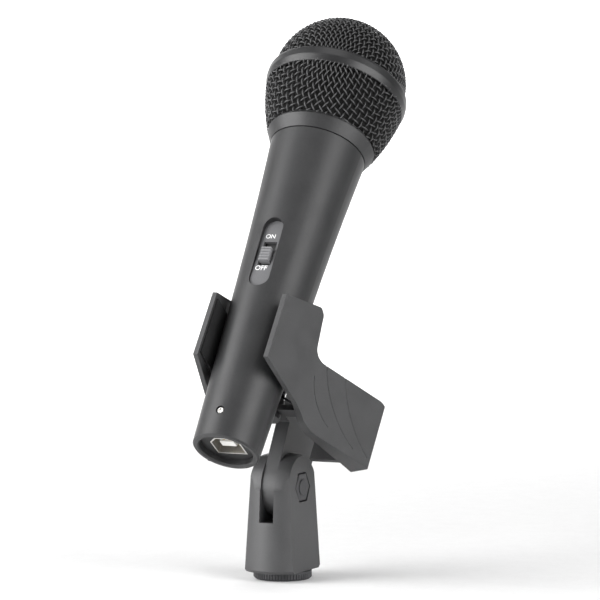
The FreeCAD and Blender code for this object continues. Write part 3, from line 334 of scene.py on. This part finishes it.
# %% The net
# millimetres: from wire to wire, the wire's own radius, and its rise over a neighbour
DOME_PITCH = 2.2
BOWL_PITCH = 2.36
WIRE = 0.25
WAVE = 0.45
# how far from the pole the net is worked out, in radians
NET_REACH = 1.75
STEPS_PER_CELL = 4
WIRE_SIDES = 6
SHORTEST_RUN = 3
# how the cloth lies round the microphone's axis
NET_TURN = math.radians(-25.0)


def net_on_sphere(step, count):
    """Knots of a Chebyshev net on a unit sphere, one quarter, filled along its diagonals:
    P[i, j] = C - 2 (C . n) n, with C = P[i-1, j-1] and n normal to P[i-1, j] and P[i, j-1]."""
    knots = np.full((count, count, 3), np.nan)
    angle = step * np.arange(count)
    knots[:, 0] = np.stack([np.sin(angle), 0 * angle, np.cos(angle)], -1)
    knots[0, :] = np.stack([0 * angle, np.sin(angle), np.cos(angle)], -1)
    for diagonal in range(2, 2 * count - 1):
        i = np.arange(max(1, diagonal - count + 1), min(count, diagonal))
        j = diagonal - i
        normal = np.cross(knots[i - 1, j], knots[i, j - 1])
        normal /= np.linalg.norm(normal, axis=-1, keepdims=True)
        corner = knots[i - 1, j - 1]
        knots[i, j] = corner - 2 * np.sum(corner * normal, -1, keepdims=True) * normal
    return knots


def whole_net(quarter):
    """The four quarters together, by changing the signs of x and y."""
    right = np.concatenate([quarter[:, :0:-1] * [1, -1, 1], quarter], axis=1)
    return np.concatenate([right[:0:-1] * [-1, 1, 1], right], axis=0)


def woven(name, step, to_surface, keep):
    """Round wires through the net, where keep(theta) is true. Along a wire the place between
    knots is a straight blend, lifted by wave * cos(pi * s), and neighbours start half a wave
    apart: over, under, over."""
    net = whole_net(net_on_sphere(step, int(NET_REACH / step)))
    points, crowns, faces, offset = [], [], [], 0
    around = 2 * np.pi * np.arange(WIRE_SIDES) / WIRE_SIDES
    for warp in (0, 1):
        cloth = net if warp == 0 else net.transpose(1, 0, 2)
        index = np.arange(STEPS_PER_CELL * (cloth.shape[1] - 1) + 1) / STEPS_PER_CELL
        low = np.minimum(index.astype(int), cloth.shape[1] - 2)
        share = (index - low)[None, :, None]
        line = cloth[:, low] * (1 - share) + cloth[:, low + 1] * share
        line /= np.linalg.norm(line, axis=-1, keepdims=True)
        number = np.arange(cloth.shape[0])[:, None]
        wave = (1 if warp == 0 else -1) * np.cos(np.pi * (index[None, :] + number))
        theta = np.arccos(np.clip(line[..., 2], -1, 1))
        phi = np.arctan2(line[..., 1], line[..., 0]) + NET_TURN
        place, normal = to_surface(theta, phi)
        centre = place + WAVE * wave[..., None] * normal
        tangent = np.gradient(centre, axis=1)
        tangent /= np.linalg.norm(tangent, axis=-1, keepdims=True)
        side = np.cross(tangent, normal)
        side /= np.linalg.norm(side, axis=-1, keepdims=True)
        up = np.cross(side, tangent)
        spokes = np.cos(around)[:, None] * side[:, :, None] + np.sin(around)[:, None] * up[:, :, None]
        rings = centre[:, :, None] + WIRE * spokes
        height = np.broadcast_to(0.5 + 0.5 * wave[..., None], rings.shape[:-1])
        good = keep(theta) & np.isfinite(centre).all(-1)
        for row in range(cloth.shape[0]):
            edges = np.flatnonzero(np.diff(np.concatenate([[0], good[row].astype(int), [0]])))
            for first, last in zip(edges[::2], edges[1::2]):
                if last - first < SHORTEST_RUN:
                    continue
                points.append(rings[row, first:last].reshape(-1, 3))
                crowns.append(height[row, first:last].ravel())
                tube = tube_faces(last - first, WIRE_SIDES)
                faces += (np.array(tube[:-2]) + offset).tolist()
                faces += [(np.array(cap) + offset).tolist() for cap in tube[-2:]]
                offset += (last - first) * WIRE_SIDES
    upright = np.concatenate(points)
    item = piece(name, lean(*upright.T), faces, "microphone", wire_coat)
    crown = item.data.attributes.new("crown", "FLOAT", "POINT")
    crown.data.foreach_set("value", np.concatenate(crowns).astype(np.float32))
    return item


# %% [markdown]
# The dome is part of a sphere, so its net only needs the sphere's radius and centre. The bowl
# is a tapering cup: the net starts from the cup's closed bottom, and an angle from that pole
# becomes a length down the cup's wall.

# %% Dome
# the wires run in the middle of the frame's closed shell; the sphere's centre is above the
# band's top, and the cloth reaches down behind the band
CLOTH_HALF = 0.45
DOME_RISE = 1.65
DOME_TUCK = 1.2
DOME_CENTRE = RING_HIGH + DOME_RISE
mid_radius = DOME_HIGH - RING_HIGH - DOME_RISE - CLOTH_HALF


def on_dome(theta, phi):
    """A point of the dome: centre + r (sin t cos p, sin t sin p, cos t), with its normal."""
    normal = np.stack([np.sin(theta) * np.cos(phi), np.sin(theta) * np.sin(phi), np.cos(theta)], -1)
    return np.array([0, 0, DOME_CENTRE]) + mid_radius * normal, normal


dome_end = math.acos((RING_HIGH - DOME_TUCK - DOME_CENTRE) / mid_radius)
dome_weave = woven("grille_dome_weave", DOME_PITCH / mid_radius, on_dome, lambda t: t < dome_end)
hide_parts("grille_dome")

# %% [markdown]
# The cup's wall is an arc: its two end radii and its curve's radius give the centre, half a
# chord along and one bulge to the side. Both pieces of cloth tuck in behind the band.

# %% Bowl
BOWL_LOW_R = 21.05
BOWL_HIGH_R = 27.05
BOWL_CURVE = 89.0
# the cloth reaches up behind the band, starts a little above the cup's bottom, and is pressed
# over a form of this radius
BOWL_TUCK = 1.0
BOWL_START = 0.6
FORM_R = 26.0
bowl_h = np.linspace(BOWL_LOW, BOWL_HIGH + BOWL_TUCK, 80)
chord = np.array([BOWL_HIGH - BOWL_LOW, BOWL_HIGH_R - BOWL_LOW_R])
chord_length = np.linalg.norm(chord)
bulge = math.sqrt(BOWL_CURVE ** 2 - chord_length ** 2 / 4)
chord_middle = np.array([(BOWL_LOW + BOWL_HIGH) / 2, (BOWL_LOW_R + BOWL_HIGH_R) / 2])
arc_centre = chord_middle + bulge * np.array([chord[1], -chord[0]]) / chord_length
bowl_r = arc_centre[1] + np.sqrt(BOWL_CURVE ** 2 - (bowl_h - arc_centre[0]) ** 2) - CLOTH_HALF
bowl_s = np.concatenate([[0], np.cumsum(np.hypot(np.diff(bowl_h), np.diff(bowl_r)))])


def on_bowl(theta, phi):
    """A point of the bowl: the angle from the bottom pole, times the form's radius, runs up
    the wall's arc length; radius and height come from the wall's profile."""
    length = bowl_s[-1] - (np.pi / 2 - theta) * FORM_R
    radius = np.interp(length, bowl_s, bowl_r)
    h = np.interp(length, bowl_s, bowl_h)
    lean_out = np.interp(length, bowl_s, np.gradient(bowl_r, bowl_h))
    normal = np.stack([np.cos(phi), np.sin(phi), -lean_out], -1)
    normal /= np.linalg.norm(normal, axis=-1, keepdims=True)
    return np.stack([radius * np.cos(phi), radius * np.sin(phi), h], -1), normal


bowl_start = np.pi / 2 - bowl_s[-1] / FORM_R + BOWL_START / FORM_R
bowl_weave = woven("grille_bowl_weave", BOWL_PITCH / FORM_R, on_bowl,
                   lambda t: (t > bowl_start) & (t < np.pi / 2))
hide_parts("grille_bowl")

# %% [markdown]
# ## The band
# The band is rolled from strip: a bevel that faces down, a crease, and a nearly flat upper face
# with a round top edge. Its section is a short polyline, read off at even steps so that the
# shading turns where the polyline does.

# %% Grille band
BAND_BORE = 25.2
BAND_TALL = 6.25
BAND_SIDES = 192
BAND_STEPS = 41


def turned(name, radius, height, sides, finish, flip=False):
    """Turn a closed section about the microphone's axis: (r cos a, r sin a, h). The radius is
    a column, or a table with one column for each side. A section drawn upwards is flipped."""
    angle = 2 * np.pi * np.arange(sides) / sides
    points = lean(radius * np.cos(angle), radius * np.sin(angle), height[:, None])
    faces = turned_faces(len(height), sides)
    if flip:
        faces = [face[::-1] for face in faces]
    return piece(name, points, faces, "microphone", finish)


# the section's corners: the height as a share of the band's, the radius over the bowl's top
corner_h = np.array([0.0, 0.12, 2.35, 2.6, 2.8, 5.2, 5.75, 6.1, 6.25]) / BAND_TALL
corner_r = np.array([-0.1, 0.1, 0.68, 0.74, 0.76, 0.72, 0.6, 0.36, 0.05])
share = np.linspace(0, 1, BAND_STEPS)
band_h = RING_LOW + (RING_HIGH - RING_LOW) * share
band_r = BOWL_HIGH_R + np.interp(share, corner_h, corner_r)
section_h = np.concatenate([band_h, [RING_HIGH, RING_LOW]])
section_r = np.concatenate([band_r, [BAND_BORE, BAND_BORE]])
band = turned("grille_band", section_r[:, None], section_h, BAND_SIDES, ring_paint, flip=True)
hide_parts("grille_ring")

# %% [markdown]
# ## Foam windscreen
# Behind the wire sits a thin ball of open-cell foam. It is a turned skin with a wavy outside,
# under a tenth of a millimetre up and down, so that what shows through the holes isn't a
# perfect wall. Its inside is the same profile drawn in.

# %% Foam
# the gaps to the dome's wires and to the bowl's, the radius behind the band, how far the foam
# stops above the bowl's bottom, and its wall
FOAM_GAP = 0.8
FOAM_BOWL_GAP = 1.0
FOAM_BAND_R = 24.7
FOAM_LIFT = 2.0
FOAM_WALL = 2.2
FOAM_SIDES = 96
WAVE_HIGH = 0.08
WAVE_LOBES = 9
WAVE_RATE = 0.9
# nearer the axis than this the foam is smooth, and its inside is a share of the radius
POLE_R = 3.0
POLE_SHARE = 0.3
# the inside of the dome is this share of the outside's height
INSIDE_SHARE = 0.91
foam_radius = mid_radius - FOAM_GAP
down_angle = np.linspace(0.001, math.acos((RING_HIGH - DOME_CENTRE) / foam_radius), 30)
band_down = np.linspace(RING_HIGH - 1, RING_LOW + 1, 4)
bowl_down = np.linspace(BOWL_HIGH, BOWL_LOW + FOAM_LIFT, 24)
outer_h = np.concatenate([DOME_CENTRE + foam_radius * np.cos(down_angle), band_down, bowl_down])
outer_r = np.concatenate([foam_radius * np.sin(down_angle), np.full(len(band_down), FOAM_BAND_R),
                          np.interp(bowl_down, bowl_h, bowl_r) - FOAM_BOWL_GAP])
inner_h = np.where(outer_h > DOME_CENTRE, DOME_CENTRE + (outer_h - DOME_CENTRE) * INSIDE_SHARE, outer_h)
inner_r = np.where(outer_r > POLE_R, outer_r - FOAM_WALL, outer_r * POLE_SHARE)
profile_h = np.concatenate([outer_h, inner_h[::-1]])
profile_r = np.concatenate([outer_r, inner_r[::-1]])
turn = 2 * np.pi * np.arange(FOAM_SIDES) / FOAM_SIDES
wavy = WAVE_HIGH * np.sin(WAVE_LOBES * turn)[None, :] * np.sin(profile_h * WAVE_RATE)[:, None]
foam_r = profile_r[:, None] + wavy * (profile_r > POLE_R)[:, None]
foam_ball = turned("foam_windscreen", foam_r, profile_h, FOAM_SIDES, foam)
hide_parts("foam_liner")

# %% [markdown]
# ## Softened mouldings
# Real mouldings have no knife edges, and the bolt and its nut have none either. Each of these
# nodes is copied, its loose triangles are merged, flat faces are made whole again, and a small
# bevel rounds the edges.

# %% Rounded copies
# points nearer than this, in metres, are one point; faces that turn by less are one face
WELD = 2e-6
FLAT_DEG = 0.4
ROUND_STEPS = 3


def softened(node, body, finish, round_mm, angle=28.0):
    """A copy of a node with its doubles merged, coplanar triangles joined, and each edge that
    turns by more than angle degrees rounded."""
    work = bmesh.new()
    work.from_mesh(frame["nodes"][node].data)
    bmesh.ops.remove_doubles(work, verts=work.verts, dist=WELD)
    bmesh.ops.dissolve_limit(work, angle_limit=math.radians(FLAT_DEG), verts=work.verts, edges=work.edges)
    mesh = bpy.data.meshes.new(node + "_moulding")
    work.to_mesh(mesh)
    work.free()
    if mesh.attributes.get("custom_normal"):
        mesh.attributes.remove(mesh.attributes["custom_normal"])
    mesh.polygons.foreach_set("use_smooth", np.full(len(mesh.polygons), True))
    mesh.materials.clear()
    mesh.materials.append(finish)
    item = bpy.data.objects.new(node + "_moulding", mesh)
    bpy.context.scene.collection.objects.link(item)
    bevel = item.modifiers.new("edge_round", "BEVEL")
    bevel.width = round_mm * MM
    bevel.segments = ROUND_STEPS
    bevel.limit_method = "ANGLE"
    bevel.angle_limit = math.radians(angle)
    bevel.harden_normals = True
    bevel.use_clamp_overlap = True
    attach(item, body)
    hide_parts(node)
    print(item.name, len(mesh.polygons), "faces")
    return item


softened("right_jaw", "right_jaw", clip_nylon, 0.35)
softened("left_jaw", "left_jaw", clip_nylon, 0.35)
softened("stem", "stem", clip_nylon, 0.35, angle=20.0)
softened("swivel_base", "base", clip_nylon, 0.3, angle=20.0)
softened("pivot_nut", "base", black_oxide, 0.4)
softened("pivot_bolt", "base", black_oxide, 0.3)

# %% [markdown]
# ## Legend on the switch plate
# The two positions are marked in plain block letters, printed in white. Text starts as a curve
# object; its outline is made a mesh, then each letter's flat points are carried by arrays from
# the page (p, q) to the plate: x across the plate, h up the microphone.

# %% Legend
# capital height as a share of the font's size, the ink's height over the plate, and how much
# the strokes are thickened
CAPITAL = 0.69
INK = 0.03
BOLD = 0.012
plate_local = vertices_of(frame["nodes"]["switch_plate"].data) - TAIL
PLATE_V = float((plate_local @ TOWARD_STEM).min() / MM)
PLATE_H = float((plate_local @ ALONG).mean() / MM)
LEGEND_X = -0.7
print("plate face at v", round(PLATE_V, 2), "middle h", round(PLATE_H, 2))


def legend(word, name, middle_h, tall):
    """Letters `tall` mm high: page (p, q) goes to x = p + offset, v = plate - ink, h = middle + q."""
    curve = bpy.data.curves.new(name, "FONT")
    curve.body = word
    curve.size = tall / CAPITAL
    curve.align_x = "CENTER"
    curve.align_y = "CENTER"
    curve.offset = BOLD * tall
    source = bpy.data.objects.new(name + "_page", curve)
    bpy.context.scene.collection.objects.link(source)
    bpy.context.view_layer.update()
    page = bpy.data.meshes.new_from_object(source)
    bpy.data.objects.remove(source)
    flat = vertices_of(page)
    faces = [list(polygon.vertices) for polygon in page.polygons]
    points = lean(flat[:, 0] + LEGEND_X, PLATE_V - INK, middle_h + flat[:, 1])
    return piece(name, points, faces, "microphone", legend_ink, smooth=False)


legend("ON", "legend_on", PLATE_H + 7.5, 1.8)
legend("OFF", "legend_off", PLATE_H - 6.5, 1.95)

# %% [markdown]
# ## Camera
# A long lens from the front keeps the object's parallels nearly parallel. It looks three
# degrees down.

# %% Camera
camera_data = bpy.data.cameras.new("camera")
camera_data.lens = 180.0
camera_data.sensor_width = 36.0
camera_data.clip_start = 0.05
camera_data.clip_end = 20.0
camera = bpy.data.objects.new("camera", camera_data)
camera.location = (0.498605, -1.006448, 0.163649)
camera.rotation_euler = (math.radians(87.0), 0.0, math.radians(26.021015))
bpy.context.scene.collection.objects.link(camera)
bpy.context.scene.camera = camera
print("camera at", [round(v, 3) for v in camera.location], "lens", camera_data.lens)

# %% [markdown]
# ## Floor
# One sheet of white paper lies under the object and sweeps up behind it in a quarter circle, so
# that no horizon shows: depth = front + sweep * sin a, rise = sweep * (1 - cos a).

# %% Floor
SWEEP_START = 1.0
SWEEP = 1.2
COLUMNS = 9
arc = np.linspace(0, math.pi / 2, 24)
depth_line = np.concatenate([[-4.0, SWEEP_START], SWEEP_START + SWEEP * np.sin(arc), [SWEEP_START + SWEEP]])
rise_line = np.concatenate([[0.0, 0.0], SWEEP * (1 - np.cos(arc)), [4.0]])
floor_x, floor_y = np.meshgrid(np.linspace(-5, 5, COLUMNS), depth_line)
floor_z = np.repeat(rise_line[:, None], COLUMNS, axis=1)
corner = np.arange(len(depth_line) - 1)[:, None] * COLUMNS + np.arange(COLUMNS - 1)
floor_faces = np.stack([corner, corner + 1, corner + COLUMNS + 1, corner + COLUMNS], -1)
floor_mesh = bpy.data.meshes.new("floor")
floor_points = np.stack([floor_x, floor_y, floor_z], -1).reshape(-1, 3)
bearing = math.radians(26.0)
cosine, sine = math.cos(bearing), math.sin(bearing)
spin = np.array([[cosine, sine, 0], [-sine, cosine, 0], [0, 0, 1]])
floor_mesh.from_pydata((floor_points @ spin).tolist(), [], floor_faces.reshape(-1, 4).tolist())
floor_mesh.polygons.foreach_set("use_smooth", np.full(len(floor_mesh.polygons), True))
floor_mesh.materials.append(grained("matt_white_paper", "#e6e6e6", "#eaeaea", (0.9, 0.95), 2.0, 0.01))
floor = bpy.data.objects.new("floor", floor_mesh)
bpy.context.scene.collection.objects.link(floor)
print("floor", len(floor_mesh.polygons), "faces")

# %% [markdown]
# ## Lights
# A large softbox on each side draws the two long highlights down the barrel. A low card lifts
# the clip, a small box above touches the tops, and a wide light whitens the paper behind.

# %% Lights


def softbox(name, bearing_deg, height, distance, width, tall, watts, aim=(0, 0, 0.11)):
    """A rectangular area light at a bearing round the object, aimed at a point of it."""
    light = bpy.data.lights.new(name, "AREA")
    light.shape = "RECTANGLE"
    light.size = width
    light.size_y = tall
    light.energy = watts
    lamp = bpy.data.objects.new(name, light)
    turn_to = math.radians(bearing_deg)
    place = np.array([math.sin(turn_to) * distance, -math.cos(turn_to) * distance, height])
    lamp.location = place.tolist()
    lamp.rotation_mode = "QUATERNION"
    lamp.rotation_quaternion = (Vector(aim) - Vector(place)).to_track_quat("-Z", "Y")
    bpy.context.scene.collection.objects.link(lamp)
    print(name, watts, "W at", [round(v, 2) for v in lamp.location])


softbox("left_softbox", -52.0, 0.42, 0.75, 0.75, 0.8, 10.5)
softbox("low_card", -32.0, 0.08, 0.6, 0.3, 0.14, 1.3, aim=(0, 0, 0.02))
softbox("right_softbox", 76.0, 0.35, 0.8, 0.65, 0.8, 8.0)
softbox("top_softbox", 26.0, 1.0, 0.15, 0.5, 0.5, 1.5)
wall_spot = spin.T @ np.array([0, SWEEP_START + SWEEP, 0.7])
softbox("wall_light", 206.0, 1.4, 0.9, 2.4, 0.6, 60.0, aim=wall_spot.tolist())
world = bpy.data.worlds.new("studio")
world.use_nodes = True
background = world.node_tree.nodes["Background"]
background.inputs["Color"].default_value = (1, 1, 1, 1)
background.inputs["Strength"].default_value = 0.16
bpy.context.scene.world = world
bpy.context.scene.view_settings.view_transform = "Standard"
